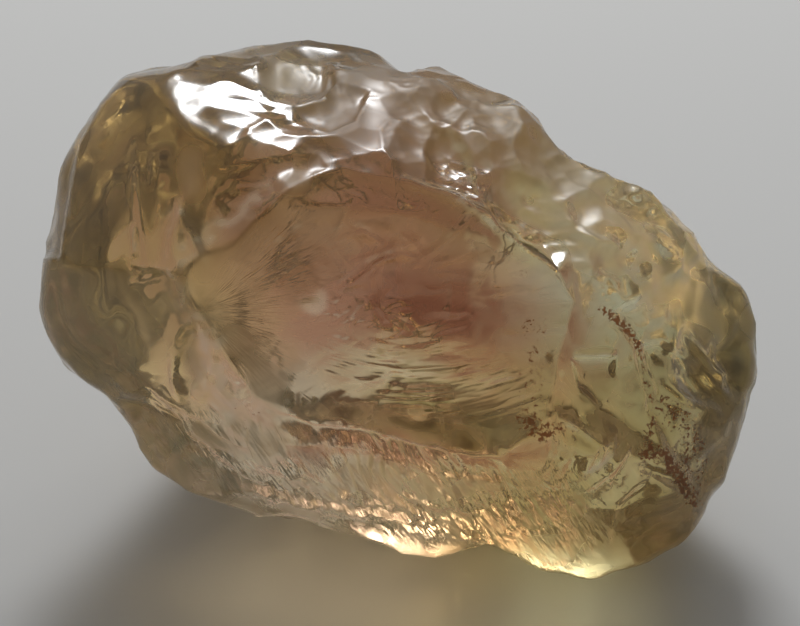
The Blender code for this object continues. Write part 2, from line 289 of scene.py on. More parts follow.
CENTRAL_SCOOP = Hollow(
    [(-5.6, 0.2), (-5.0, 1.4), (-4.2, 2.6), (-3.3, 3.4), (-2.7, 3.9), (-1.7, 4.2), (-0.6, 3.9),
     (0.6, 3.6), (1.9, 3.1), (3.0, 2.3), (4.0, 1.6), (4.8, 1.1), (5.2, 0.2), (4.9, -1.0),
     (4.6, -2.2), (4.2, -3.4), (3.0, -4.4), (1.7, -4.3), (0.0, -3.9), (-1.7, -3.4), (-3.0, -3.1),
     (-4.2, -2.7), (-5.0, -1.9), (-5.6, -0.8)],
    1.3, 1.1,
)
AMBER_FACE = Hollow(
    [(-5.4, 4.2), (-4.2, 4.4), (-2.4, 4.6), (-2.1, 4.2), (-3.0, 3.7), (-4.0, 3.0), (-4.6, 2.2),
     (-5.6, 1.1), (-6.1, 1.9), (-6.0, 3.2)],
    0.35, 0.5,
)
LEFT_FLAP = Hollow(
    [(-9.3, 6.0), (-9.7, 5.0), (-9.9, 3.9), (-10.1, 2.9), (-10.3, 1.5), (-11.6, 1.5), (-11.6, 6.1)],
    0.3, 0.15,
)
LOW_LEDGE = Hollow(
    [(-8.8, -2.8), (-7.6, -2.4), (-6.1, -3.3), (-4.3, -4.5), (-2.7, -5.6), (0.0, -6.1),
     (2.2, -7.1), (3.1, -7.3), (2.5, -9.6), (-9.2, -7.7), (-9.8, -4.1)],
    0.7, 0.45,
)
LENS = Hollow(
    [(-6.0, -0.4), (-5.7, -1.1), (-5.8, -2.0), (-6.3, -2.7), (-6.7, -2.2), (-6.8, -1.4), (-6.5, -0.6)],
    0.22, 0.25,
)
GREEN_HOLLOW = Hollow(
    [(2.4, 3.3), (3.1, 4.1), (4.3, 3.8), (4.9, 2.9), (5.1, 1.8), (4.8, 1.1), (4.0, 1.6), (3.0, 2.3)],
    0.8, 0.6,
)
PALE_STEP = Hollow(
    [(0.8, 4.8), (1.0, 5.4), (1.7, 5.2), (2.2, 4.4), (2.4, 3.3), (1.4, 3.5), (0.8, 3.8)], 0.35, 0.3
)
RIGHT_STEP = Hollow(
    [(6.2, -0.1), (7.1, -1.1), (7.4, -2.2), (7.5, -3.1), (7.9, -4.1), (8.6, -5.0), (9.2, -5.8),
     (11.1, -6.5), (11.7, 0.2), (9.8, 2.1), (8.6, 1.5), (7.4, 0.6)],
    0.35, 0.5,
)
RIGHT_WINDOW = Hollow(
    [(7.4, -1.1), (8.2, -1.0), (9.2, -1.7), (10.2, -2.8), (10.0, -3.2), (8.9, -3.1), (7.9, -2.7)],
    0.3, 0.3,
)
RIGHT_NOTCH = Hollow([(5.2, -1.5), (6.5, -1.4), (6.5, -2.2), (5.9, -2.9), (5.4, -2.4)], 0.4, 0.3)
LOW_FOLD = Hollow(
    [(-4.0, -3.0), (-1.7, -3.4), (0.0, -3.9), (1.7, -4.3), (3.0, -4.5), (3.7, -5.3), (2.2, -5.1),
     (0.0, -4.7), (-2.1, -4.1), (-3.7, -3.6)],
    0.35, 0.3,
)
EYE = Hollow(
    [(-1.9, 6.8), (-2.1, 7.6), (-2.8, 8.0), (-3.6, 7.9), (-4.2, 7.4), (-4.3, 6.8), (-3.9, 6.3),
     (-3.1, 6.1), (-2.4, 6.3)],
    0.5, 0.4,
)
RIBBED_HOLLOW = Hollow(
    [(-0.9, 6.6), (-1.3, 5.6), (-2.1, 5.2), (-3.1, 5.6), (-3.2, 6.1), (-2.4, 6.3), (-1.9, 6.8)],
    0.45, 0.4,
)
HOLLOWS = [
    CENTRAL_SCOOP, AMBER_FACE, LEFT_FLAP, LOW_LEDGE, LENS, GREEN_HOLLOW, PALE_STEP, RIGHT_STEP,
    RIGHT_WINDOW, RIGHT_NOTCH, LOW_FOLD, EYE, RIBBED_HOLLOW,
]

SWELLS = [
    Swell((-7.6, 3.0), (0.25, 1.7), 8, 0.1),
    Swell((-6.4, 2.6), (0.25, 1.4), -18, 0.1),
    Swell((-4.2, 5.2), (2.2, 0.6), -25, 0.05),
    Swell((2.6, 4.9), (0.8, 0.5), -35, 0.35),
    Swell((3.6, 5.4), (0.5, 0.9), 20, 0.3),
    Swell((6.3, 2.4), (0.9, 0.6), 30, 0.35),
    Swell((7.7, 1.9), (0.7, 0.5), -40, 0.4),
    Swell((5.6, 3.0), (0.45, 0.8), 10, 0.25),
    Swell((1.0, 6.5), (0.7, 0.5), 10, 0.3),
    Swell((5.7, -4.1), (0.6, 1.0), -20, 0.35),
    Swell((6.4, -5.0), (0.9, 0.7), 30, 0.35),
    Swell((4.6, -6.3), (1.1, 0.5), -30, 0.3),
    Swell((1.4, -5.7), (1.2, 0.4), -20, 0.25),
    Swell((-1.7, -5.1), (1.3, 0.4), -24, 0.25),
    Swell((10.3, -1.5), (0.35, 0.5), 15, -0.5),
    Swell((10.5, -2.4), (0.25, 0.3), 0, -0.35),
]


def smooth_outline(angles):
    """The outline's distance from the middle at each angle, by a closed Catmull-Rom curve."""
    points = np.array(OUTLINE) * (LENGTH / 22.0)
    share = np.linspace(0.0, 1.0, 30, endpoint=False)[:, None]
    runs = []
    for i in range(len(points)):
        a, b, c, d = (points[(i + k) % len(points)] for k in (-1, 0, 1, 2))
        cubic = (3 * (b - c) + d - a) * share**3 + (2 * a - 5 * b + 4 * c - d) * share**2
        runs.append((cubic + (c - a) * share + 2 * b) / 2)
    curve = np.concatenate(runs)
    at = np.arctan2(curve[:, 1], curve[:, 0])
    order = np.argsort(at)
    return np.interp(angles, at[order], np.hypot(*curve.T)[order], period=2 * math.pi)


def broad_outline(angles, harmonics=4):
    """The outline with its small bumps left out, from its first few harmonics."""
    even = np.linspace(-math.pi, math.pi, 720, endpoint=False)
    radii = smooth_outline(even)
    total = np.full_like(angles, radii.mean())
    for k in range(1, harmonics + 1):
        total += 2 * (radii * np.cos(k * even)).mean() * np.cos(k * angles)
        total += 2 * (radii * np.sin(k * even)).mean() * np.sin(k * angles)
    return total


def above_blank(points, broad, close):
    """About how far points are outside the blank, whose widest section has the outline."""
    u, v, w = points.T
    reach = broad + (close - broad) * np.exp(-((w / DETAIL_BAND) ** 2))
    depth = np.where(w > 0, HALF_DEPTH_FRONT, HALF_DEPTH_BACK)
    size = (np.hypot(u, v) / reach) ** BLANK_POWER + (np.abs(w) / depth) ** BLANK_POWER
    return (size ** (1 / BLANK_POWER) - 1) * np.linalg.norm(points, axis=1)


def reach_of(directions):
    """How far the broken blank's surface is from its middle in each direction, by halving."""
    angles = np.arctan2(directions[:, 1], directions[:, 0])
    broad, close = broad_outline(angles), smooth_outline(angles)
    low = np.full(len(directions), 1.0)
    high = np.full(len(directions), LENGTH * 0.8)
    for _ in range(20):
        middle = (low + high) / 2
        points = directions * middle[:, None]
        each = np.stack([above_blank(points, broad, close)] + [cut.above(points) for cut in BREAKS])
        most = each.max(axis=0)
        above = most + EDGE_ROUNDING * np.log(np.exp((each - most) / EDGE_ROUNDING).sum(axis=0))
        high = np.where(above > 0, middle, high)
        low = np.where(above > 0, low, middle)
    return (low + high) / 2


def smoothstep(low, high, x):
    t = np.clip((x - low) / (high - low), 0, 1)
    return t * t * (3 - 2 * t)


def smooth_noise(places):
    return np.array([noise.noise(p) for p in places])


def bends(points, size):
    """Smooth sideways shifts that change over about this size."""
    return np.array([noise.noise_vector(p)[:] for p in points / size])


def scallops(points, size):
    """Small shell-like hollows that meet in sharp ridges: 0 in their middles, about 1 on ridges."""
    return np.array([min(noise.voronoi(p)[0][0], 1.0) ** 2 for p in points / size])


SMOOTH_LEFT = Region(
    [(-11.5, 6.5), (-7.5, 7.6), (-5.6, 5.6), (-5.2, 3.4), (-5.6, 1.0), (-5.6, -2.6), (-8.0, -2.4),
     (-10.5, -2.2), (-12.0, 0.0)]
)


def taken_off(points):
    """How much the hollows, swells and scallops take off the broken blank, in millimetres."""
    u, v, w = points.T
    front = smoothstep(*FRONT_FADE, w)
    off = sum(shape.taken(u, v) for shape in HOLLOWS + SWELLS) * front
    rough = 1 - 0.8 * smoothstep(-0.3, 0.6, SMOOTH_LEFT.inside(u, v)) * front
    warp = bends(points, 2.2)
    off -= 0.3 * rough * (scallops(points + 0.7 * warp, 2.3) - SCALLOP_LEVEL)
    off -= 0.14 * rough * (scallops(points + 0.5 * warp + 9.0, 1.1) - SCALLOP_LEVEL)
    return off


def tipped(points):
    """Points of the chip as it rests, in metres."""
    u, v, w = points.T
    c, s = math.cos(FACE_TILT), math.sin(FACE_TILT)
    across, up = c * v - s * w + CENTRE_SHIFT, s * v + c * w + REST_HEIGHT
    return np.stack([u, across, up], axis=1) * MM


# Fine marks

def stretched_noise(u, v, turn, along, across, layer=0.0):
    """Streaks that run along a direction turned from u, with their usual length and width."""
    c, s = math.cos(math.radians(turn)), math.sin(math.radians(turn))
    return smooth_noise(
        np.stack([(c * u + s * v) / along, (c * v - s * u) / across, np.full(len(u), layer)], 1)
    )


def round_noise(u, v, middle, turns, along, layer=0.0):
    """Noise on rings and rays round a point: lines along the rays where turns is large."""
    angle = np.arctan2(v - middle[1], u - middle[0])
    away = np.hypot(u - middle[0], v - middle[1])
    return smooth_noise(np.stack([angle * turns, away / along, np.full(len(u), layer)], 1))


def crests(values):
    """Turns smooth noise into sharp crests, from about -0.5 to 0.5."""
    return 0.5 - 2 * np.abs(values)


FANNED = Region(
    [(-5.6, 0.2), (-5.0, 1.4), (-4.2, 2.4), (-2.6, 2.8), (-1.4, 1.6), (-2.2, 0.0), (-3.6, -0.6),
     (-3.6, -2.0), (-4.4, -2.6), (-5.2, -1.8), (-5.6, -0.8)]
)
RIPPLED = Region(
    [(-2.4, -1.0), (-1.0, -1.2), (0.6, -1.0), (2.6, -1.3), (4.2, -2.0), (4.2, -3.0), (2.8, -3.4),
     (0.6, -3.2), (-1.0, -2.6), (-2.2, -2.0)]
)
LOW_BAND = Region(
    [(-7.4, -3.4), (-4.0, -3.4), (0.0, -4.2), (3.0, -4.9), (5.4, -5.0), (6.4, -7.0), (5.0, -8.6),
     (2.0, -7.6), (-3.0, -6.4), (-7.6, -5.2)]
)
DASHED = Region([(4.4, -3.2), (5.4, -3.0), (6.4, -3.8), (6.6, -5.4), (5.6, -5.6), (4.6, -5.0)])
CHIPPED = Region(
    [(5.0, 4.8), (4.8, 2.6), (5.2, 1.2), (6.2, 0.2), (8.0, 0.4), (9.6, 1.2), (9.4, 2.4), (8.0, 3.6)]
)
LUMPY = Region(
    [(-0.4, 7.6), (-0.2, 4.6), (1.2, 3.8), (2.6, 3.4), (4.4, 1.8), (5.4, 2.0), (5.0, 4.9),
     (2.6, 7.2)]
)
FAR_SIDE = Region(
    [(-3.9, 8.8), (-4.6, 7.0), (-2.6, 5.6), (-1.4, 4.4), (0.6, 4.0), (2.6, 3.4), (4.6, 2.2),
     (6.0, 2.6), (5.4, 5.0), (3.0, 7.6), (-1.0, 8.8)]
)
PITTED = Region(
    [(-6.2, -0.8), (-5.4, -0.6), (-4.4, -2.4), (-3.4, -3.2), (-3.6, -4.2), (-5.2, -4.6),
     (-6.6, -3.4)]
)

# Fine edges on the broad face: how wide and how high each is, and the points it runs through, in mm
CREASES = [
    (0.08, 0.10, [(-9.88, 3.6), (-9.86, 2.7)]),
    (0.10, 0.10, [(-9.5, 5.3), (-9.75, 4.7), (-10.0, 4.1), (-10.05, 3.5)]),
    (0.10, 0.09, [(-7.4, 4.6), (-7.36, 3.5)]),
    (0.10, 0.10, [(-7.88, 2.5), (-7.85, 1.5)]),
    (0.09, 0.12, [(-6.63, 3.3), (-6.2, 2.3), (-5.6, 1.1)]),
    (0.10, 0.08, [(-6.7, 1.8), (-6.5, 1.3), (-6.75, 0.9)]),
    (0.10, 0.08, [(-8.0, 1.25), (-6.95, 1.15), (-6.5, 0.95)]),
    (0.09, 0.08, [(-8.05, 0.65), (-7.4, 0.85), (-6.9, 0.95)]),
    (0.10, 0.09, [(-3.85, 3.0), (-3.25, 3.4), (-2.5, 3.95)]),
    (0.09, 0.08, [(-3.85, 1.8), (-3.25, 2.2), (-2.7, 2.7)]),
    (0.09, 0.07, [(-2.2, 0.55), (-1.6, 0.9), (-0.8, 1.5), (0.05, 1.8), (0.65, 1.7)]),
    (0.09, 0.06, [(-2.1, 2.2), (-1.8, 2.4), (-1.2, 2.5), (-0.6, 2.2), (-0.9, 1.9)]),
    (0.11, 0.16, [(0.05, 3.85), (1.05, 3.55), (1.9, 3.2), (2.5, 2.8), (3.0, 2.3), (3.7, 1.85),
                  (4.55, 1.25)]),
    (0.09, 0.13, [(-6.5, -1.1), (-6.72, -1.5), (-6.78, -1.9), (-6.65, -2.4), (-6.5, -2.9)]),
    (0.09, 0.08, [(-5.6, -1.1), (-5.55, -1.6), (-5.8, -2.5), (-6.2, -3.05)]),
    (0.09, 0.12, [(-4.05, -3.15), (-3.05, -3.2), (-1.8, -3.55), (-0.4, -3.75), (0.65, -4.05),
                  (1.65, -4.15), (2.6, -4.3)]),
    (0.09, 0.08, [(-3.65, -4.05), (-2.65, -4.0), (-2.0, -3.95)]),
    (0.10, 0.12, [(8.85, -0.75), (9.35, -1.3), (9.85, -1.9), (10.25, -2.25)]),
    (0.10, 0.10, [(8.3, -2.3), (8.85, -2.75), (9.45, -3.05), (10.05, -3.1)]),
    (0.10, -0.09, [(6.15, -0.3), (6.8, -0.7), (7.2, -1.2), (7.5, -2.6), (7.6, -3.4)]),
    (0.10, 0.14, [(4.7, -3.2), (5.25, -3.5), (5.85, -3.95)]),
    (0.12, 0.16, [(5.25, -5.5), (5.75, -4.9), (6.4, -4.35), (6.8, -4.05)]),
    (0.10, 0.12, [(6.4, -5.9), (6.25, -6.9), (6.4, -7.5)]),
    (0.10, 0.12, [(5.3, -1.4), (6.4, -1.35)]),
    (0.10, -0.10, [(6.9, -4.6), (7.6, -4.9), (8.3, -5.2), (9.2, -5.9)]),
    (0.09, 0.10, [(-0.2, -5.4), (0.6, -5.7), (1.4, -5.95)]),
    (0.10, 0.12, [(-3.5, -5.2), (-2.4, -5.35), (-1.2, -5.8), (0.2, -6.1)]),
    (0.13, 0.16, [(-5.7, -5.8), (-3.9, -6.1), (-2.0, -6.4), (0.6, -6.9), (2.5, -7.15)]),
    (0.12, 0.12, [(-8.6, -2.9), (-7.9, -3.8), (-7.2, -4.6), (-6.2, -5.4)]),
    (0.11, 0.10, [(-4.1, 6.4), (-4.25, 7.2), (-3.6, 7.9), (-2.7, 8.0), (-2.1, 7.4), (-2.3, 6.7),
                  (-3.1, 6.3)]),
    (0.10, 0.08, [(-3.7, 6.8), (-3.6, 7.4), (-3.0, 7.6), (-2.6, 7.2), (-2.9, 6.8)]),
]


def crease_heights(u, v):
    """How high the fine edges stand, from the nearness of each line and tapering to its ends."""
    total = np.zeros(len(u))
    for width, height, points in CREASES:
        best = np.zeros(len(u))
        for i, (start, end) in enumerate(zip(points, points[1:])):
            share, away = nearest(u, v, start, end)
            along = (i + share) / (len(points) - 1)
            best = np.maximum(best, np.exp(-((away / width) ** 2)) * np.sqrt(np.sin(math.pi * along)))
        total += height * best
    return total


def fine_off(points):
    """What the fine marks take off, in millimetres."""
    u, v, w = points.T
    front = smoothstep(*FRONT_FADE, w)
    bend = bends(points, 1.1)
    bu, bv = u + 0.25 * bend[:, 0], v + 0.25 * bend[:, 1]

    def ridges(shift, size, bent):
        """Scallops with bent sides, about their usual height."""
        return scallops(points + bent * bend + shift, size) - SCALLOP_LEVEL

    scoop = CENTRAL_SCOOP.mask(u, v, 0.5) * front
    rippled, fanned = RIPPLED.mask(u, v, 0.6), FANNED.mask(u, v, 0.5)
    low, dashed = LOW_BAND.mask(u, v, 0.4) * front, DASHED.mask(u, v, 0.4)
    off = WISPS * round_noise(bu, bv, FAN_START, 5, 2.0) * scoop
    off += SWIRLS * round_noise(bu, bv, FAN_START, 1.5, 0.75, 7.0) * scoop
    off -= FEATHERS * crests(stretched_noise(bu, bv, 20, 1.6, 0.7, 3.0)) * scoop
    off -= RIPPLES * crests(round_noise(bu, bv, RIPPLE_MIDDLE, 1.2, 0.5, 4.0)) * rippled * front
    off -= FAN_LINES * crests(round_noise(bu, bv, FAN_START, 7, 2.4, 2.0)) * fanned * front
    off -= STREAKS * crests(stretched_noise(bu, bv, STREAK_TURN, 1.8, 0.32)) * low
    off -= LOW_SCALLOPS * ridges(3.0, 1.3, 0.4) * low
    off -= DASHES * crests(stretched_noise(bu, bv, 86, 1.2, 0.22, 5.0)) * dashed * front

    chips = CHIPS * ridges(4.0, 1.2, 0.3) + CRUMBS * ridges(8.0, 0.6, 0.2)
    chipped = CHIPPED.mask(u, v, 0.5) * front
    lumpy = LUMPY.mask(u, v, 0.5) * front
    pitted = PITTED.mask(u, v, 0.4) * front
    off -= chips * (chipped + 0.7 * lumpy + 0.4 * pitted + 0.3 * low)

    # The back is plainer behind the clear left block
    back = (1 - smoothstep(*BACK_FADE, w)) * (0.3 + 0.7 * smoothstep(*LEFT_BACK_FADE, u))
    off -= BACK_SCALLOPS * ridges(6.0, 1.6, 0.4) * back
    return off - crease_heights(u, v) * front * (0.4 + 0.6 * smoothstep(*LEFT_CREASE_FADE, u))


def rest_relief(x, y):
    """How far the cleavage face that the stone rests on stands clear of the paper."""
    return REST_WAVES * (1 - scallops(np.stack([x, y, 0 * x], 1), 1.7))


# The stone's fine mesh

def fine_stone():
    """The stone as one mesh: a finely cut ball, drawn in to the chip's surface."""
    mesh = bmesh.new()
    bmesh.ops.create_icosphere(mesh, subdivisions=1, radius=1.0)
    bmesh.ops.subdivide_edges(mesh, edges=mesh.edges, cuts=EDGE_CUTS, use_grid_fill=True)
    directions = np.array([vertex.co[:] for vertex in mesh.verts])
    directions /= np.linalg.norm(directions, axis=1)[:, None]
    directions[:, 2] += FRONT_SHARE
    directions /= np.linalg.norm(directions, axis=1)[:, None]
    points = directions * reach_of(directions)[:, None]
    off = taken_off(points) + fine_off(points)
    points -= directions * off[:, None]
    x, y, z = (tipped(points) / MM).T
    rest = rest_relief(x, y)
    z = np.where(z < rest, rest, z)
    for vertex, place in zip(mesh.verts, np.stack([x, y, z], axis=1) * MM):
        vertex.co = place
    for face in mesh.faces:
        face.smooth = True
    data = bpy.data.meshes.new("stone_fine")
    mesh.to_mesh(data)
    mesh.free()
    data.set_sharp_from_angle(angle=SHARP_EDGE)
    stone = bpy.data.objects.new("stone_fine", data)
    bpy.context.scene.collection.objects.link(stone)
    return stone


def chip_places(stone):
    """The u, v, w of each of the mesh's vertices, in millimetres."""
    flat = np.empty(len(stone.data.vertices) * 3)
    stone.data.vertices.foreach_get("co", flat)
    x, y, z = flat.reshape(-1, 3).T / MM
    c, s = math.cos(FACE_TILT), math.sin(FACE_TILT)
    y, z = y - CENTRE_SHIFT, z - REST_HEIGHT
    return np.stack([x, c * y + s * z, c * z - s * y], axis=1)


# Colours, painted light and shade, and masks

# Colour zones: where each is strongest in u, v, how far it spreads, and its colour
ZONES = [
    # The left block, above and below
    ((-8.5, 3.0), 3.5, (0.61, 0.39, 0.16)),
    ((-8.5, -1.5), 3.0, (0.97, 0.81, 0.43)),
    # The amber face and the top over it
    ((-4.5, 3.4), 2.0, (0.44, 0.25, 0.12)),
    ((-4.5, 7.0), 3.0, (0.35, 0.23, 0.07)),
    # The scoop: rose above, the fan, the rose heart, and under them the gold, made lighter as a painted
    # glow of light, and the olive
    ((0.5, 1.6), 3.4, (0.42, 0.19, 0.11)),
    ((-3.2, 0.6), 2.0, (0.71, 0.39, 0.29)),
    ((2.6, -0.6), 1.8, (0.58, 0.25, 0.14)),
    ((0.8, -2.3), 1.3, (1.00, 0.76, 0.42)),
    ((3.2, -3.4), 1.5, (0.84, 0.57, 0.28)),
    # The low band, its pale ledge and the yellow foot
    ((-1.0, -4.2), 2.2, (1.00, 0.84, 0.48)),
    ((-3.0, -6.0), 2.8, (1.00, 1.00, 1.00)),
    ((5.5, -6.6), 3.5, (0.79, 0.62, 0.25)),
    # The right block, its pale chips, and the lumps of the far side
    ((9.0, -1.5), 3.5, (0.52, 0.51, 0.28)),
    ((7.0, 2.2), 2.5, (0.86, 0.93, 0.78)),
    ((2.8, 5.0), 2.6, (0.45, 0.31, 0.12)),
]


def zone_colours(u, v):
    """Each place's colour, from the zones that are near it."""
    total = np.zeros((len(u), 3))
    weights = np.full(len(u), 1e-6)
    for (zone_u, zone_v), spread, colour in ZONES:
        weight = np.exp(-((u - zone_u) ** 2 + (v - zone_v) ** 2) / spread**2)
        total += weight[:, None] * np.array(colour)
        weights += weight
    return total / weights[:, None]


# Patches of their own colour or of painted light and shade: the middle, the half sizes, the turn in
# degrees, the colour, its share
COLOUR_AND_LIGHT_PATCHES = [
    # Dark amber window, and the brown slope right of it
    ((-4.4, 2.9), (1.0, 1.3), 0, (0.30, 0.15, 0.06), 0.8),
    ((-3.0, 4.2), (1.5, 0.6), -25, (0.42, 0.28, 0.14), 0.7),
    # Rose heart of the scoop
    ((1.6, 0.2), (2.6, 1.1), -10, (0.26, 0.08, 0.04), 0.75),
    # Painted golden glow of light over the ripples, and a small painted white-gold glint left of them
    ((-0.1, -1.85), (1.5, 0.5), -8, (1.00, 0.88, 0.62), 1.0),
    ((2.0, -2.35), (1.3, 0.35), 10, (1.00, 0.84, 0.50), 1.0),
    ((-1.2, -2.45), (0.6, 0.4), 20, (1.00, 0.84, 0.62), 1.0),
    # A small painted glint
    ((-2.6, 0.1), (0.4, 0.3), -30, (1.00, 0.95, 0.85), 1.0),
    # Olive window, darkened as painted shade of the paper under the stone seen through it, and the rose
    # band and its dark block under it
    ((1.7, -3.4), (2.6, 0.6), -12, (0.50, 0.42, 0.16), 0.8),
    ((-0.6, -4.1), (2.6, 0.5), -10, (0.75, 0.36, 0.24), 0.8),
    ((-2.7, -4.5), (0.6, 0.45), -10, (0.30, 0.10, 0.05), 0.8),
    # Lens-shaped mark
    ((-6.2, -1.6), (0.3, 0.65), 5, (0.34, 0.28, 0.14), 0.9),
    # Painted pale sheen in the eye at the top, and pale green lumps
    ((-3.2, 7.0), (1.0, 0.8), 30, (0.95, 0.88, 0.72), 0.8),
    ((4.0, 2.8), (0.9, 1.4), 15, (0.90, 0.86, 0.50), 0.8),
    # The right block: olive window, notch, painted gold reflections in its facets, grey haze, and the
    # yellow foot with a painted glow along its lower edge
    ((9.4, -1.9), (0.8, 0.8), -30, (0.34, 0.30, 0.12), 0.8),
    ((5.9, -2.0), (0.6, 0.5), 0, (0.40, 0.26, 0.12), 0.8),
    ((6.6, -5.3), (0.7, 1.1), -25, (1.00, 0.88, 0.50), 0.9),
    ((9.7, -4.0), (0.9, 0.9), 0, (0.60, 0.60, 0.55), 0.7),
    ((5.4, -7.9), (1.8, 0.5), 0, (1.00, 0.95, 0.50), 0.8),
    # Painted shade in the pit at the right-hand end, and in the dark notch beside it
    ((10.3, -1.7), (0.35, 0.45), 15, (0.08, 0.08, 0.07), 0.9),
    ((10.45, -2.55), (0.12, 0.25), 0, (0.005, 0.005, 0.004), 1.0),
]


def add_colour_and_light_patches(colours, u, v):
    """Mixes the patches of colour and of painted light and shade into the zones' colours, with edges
    that are soft and uneven.
    """
    bend = bends(np.stack([u, v, 0 * u], 1), 0.8)
    bu, bv = u + 0.35 * bend[:, 0], v + 0.35 * bend[:, 1]
    for (pu, pv), (long, wide), turn, colour, share in COLOUR_AND_LIGHT_PATCHES:
        c, s = math.cos(math.radians(turn)), math.sin(math.radians(turn))
        along, across = (c * (bu - pu) + s * (bv - pv)) / long, (c * (bv - pv) - s * (bu - pu)) / wide
        near = share * np.exp(-((along**2 + across**2) ** 2))[:, None]
        colours = colours * (1 - near) + near * np.array(colour)
    return colours


# Rust-brown stains: how wide each is, how strong, and the points that it runs through
STAINS = [
    (0.61, 0.48, [(4.0, -0.6), (4.1, -1.6), (3.9, -2.6), (4.2, -3.4)]),
    (0.41, 0.75, [(3.75, -3.3), (4.15, -3.75), (4.6, -3.6)]),
    (0.22, 0.84, [(6.15, -0.1), (6.8, -0.6), (7.2, -1.2)]),
    (0.16, 0.62, [(7.2, -1.2), (7.45, -2.3), (7.6, -3.2)]),
    (0.22, 0.79, [(7.6, -3.3), (7.45, -4.0), (7.75, -4.6)]),
    (0.3, 0.88, [(7.4, -4.4), (7.9, -4.35), (8.3, -4.9), (8.7, -5.5), (9.2, -6.1)]),
    (0.61, 0.62, [(7.9, -2.9), (8.5, -3.4), (8.9, -4.1), (8.6, -4.9)]),
    (0.47, 0.53, [(9.3, -4.8), (9.0, -5.4)]),
    (0.41, 0.4, [(-4.6, -2.9), (-4.3, -3.5)]),
    (0.34, 0.35, [(2.9, 1.9), (3.6, 1.2)]),
    (0.47, 0.4, [(6.6, -5.4), (7.2, -5.9)]),
    (0.41, 0.35, [(-7.4, -3.2), (-6.6, -3.7), (-6.0, -4.1)]),
]

# Lines along which the surface is dull: how wide each is, how strong, and its points
DULL_LINES = [
    (0.8, 0.8, [(-5.4, -0.3), (-4.7, -1.5), (-3.4, -2.8)]),
    (0.9, 0.7, [(7.4, 1.0), (8.7, 0.3), (9.4, -0.6)]),
    (0.9, 0.28, [(-7.0, 6.4), (-5.4, 6.0), (-4.0, 5.4), (-2.7, 4.8)]),
    (0.5, 0.5, [(-6.4, 1.6), (-6.5, 0.5)]),
    (0.5, 0.8, [(-6.2, 4.4), (-6.1, 1.9), (-5.6, 1.1)]),
    (0.5, 0.8, [(-5.6, 1.1), (-4.6, 2.3), (-3.3, 3.5), (-2.4, 4.2)]),
]

# Lines along which the stone is crinkled, with a painted whitish sheen, and their widths
PAINTED_SHEEN_LINES = [
    (0.6, [(5.4, 3.2), (6.4, 2.6), (7.6, 1.9), (8.6, 0.9)]),
    (0.6, [(7.2, 1.3), (7.4, 0.3)]),
    (0.55, [(0.9, 5.6), (1.9, 4.6), (2.8, 3.5)]),
    (0.3, [(-6.6, 2.7), (-6.05, 1.8), (-6.5, 1.4), (-6.65, 1.0), (-6.5, 0.5), (-6.2, -0.1),
           (-5.6, -0.9)]),
    (0.25, [(-6.05, 1.8), (-4.7, 2.9), (-3.3, 3.9)]),
    (0.45, [(-5.6, -1.0), (-5.0, -3.2)]),
]


def near_line(u, v, points, width):
    """How near each place is to a line of points: 1 on it, falling smoothly to 0."""
    best = np.zeros(len(u))
    for start, end in zip(points, points[1:]):
        best = np.maximum(best, np.exp(-((nearest(u, v, start, end)[1] / width) ** 2)))
    return best


def add_colours(stone, name, channels):
    """Gives the mesh a colour attribute from three arrays of one number per vertex."""
    layer = stone.data.attributes.new(name, "FLOAT_COLOR", "POINT")
    layer.data.foreach_set("color", np.stack([*channels, np.ones(len(channels[0]))], axis=1).ravel())


def paint(stone):
    """Gives the mesh its colour zones with patches of painted light and shade, and masks for the marks,
    dullness, stains and painted sheen.
    """
    places = chip_places(stone)
    u, v, w = places.T
    front = smoothstep(*FRONT_FADE, w)
    add_colours(stone, "tint", add_colour_and_light_patches(zone_colours(u, v), u, v).T)

    kinds = {
        "chipped": CHIPPED.mask(u, v, 0.6) * front,
        "lumpy": LUMPY.mask(u, v, 0.6) * front,
        "low": LOW_BAND.mask(u, v, 0.6) * front,
        "pitted": PITTED.mask(u, v, 0.5) * front,
        "fanned": (0.3 + 0.7 * FANNED.mask(u, v, 0.6)) * CENTRAL_SCOOP.mask(u, v, 0.4) * front,
        "rippled": RIPPLED.mask(u, v, 0.6) * front,
        "back": 1 - front,
    }
    add_colours(stone, "marks", [kinds["fanned"], kinds["low"], kinds["rippled"]])

    dull = sum(share * kinds[name] for name, share in DULLNESS.items())
    dull = np.maximum(dull, FAR_SIDE_DULLNESS * FAR_SIDE.mask(u, v, 0.7) * front)
    for width, strength, points in DULL_LINES:
        dull = np.maximum(dull, strength * near_line(u, v, points, width))
    dull = np.clip(dull * (0.8 + 1.2 * smooth_noise(places / 1.1)), 0, 1)
    stain = np.zeros(len(u))
    for width, strength, points in STAINS:
        stain = np.maximum(stain, strength * near_line(u, v, points, width))
    # Painted highlights along the creases, stronger where they stand higher
    painted_sheen = 9 * np.maximum(crease_heights(u, v) - 0.03, 0)
    # Painted whitish sheen along the crinkled lines, broken up by noise
    for width, points in PAINTED_SHEEN_LINES:
        painted_sheen += 0.9 * near_line(u, v, points, width)
    sheen_breakup = np.clip(0.4 + 1.6 * smooth_noise(places / 0.4), 0.15, 1)
    painted_sheen = 0.8 * np.clip(painted_sheen, 0, 1) * sheen_breakup * front
    rough = np.maximum(CLEAR_ROUGHNESS + DULL_ROUGHNESS * dull, 0.6 * painted_sheen)
    add_colours(stone, "cover", [rough, stain * front, painted_sheen])


# Materials, light and camera

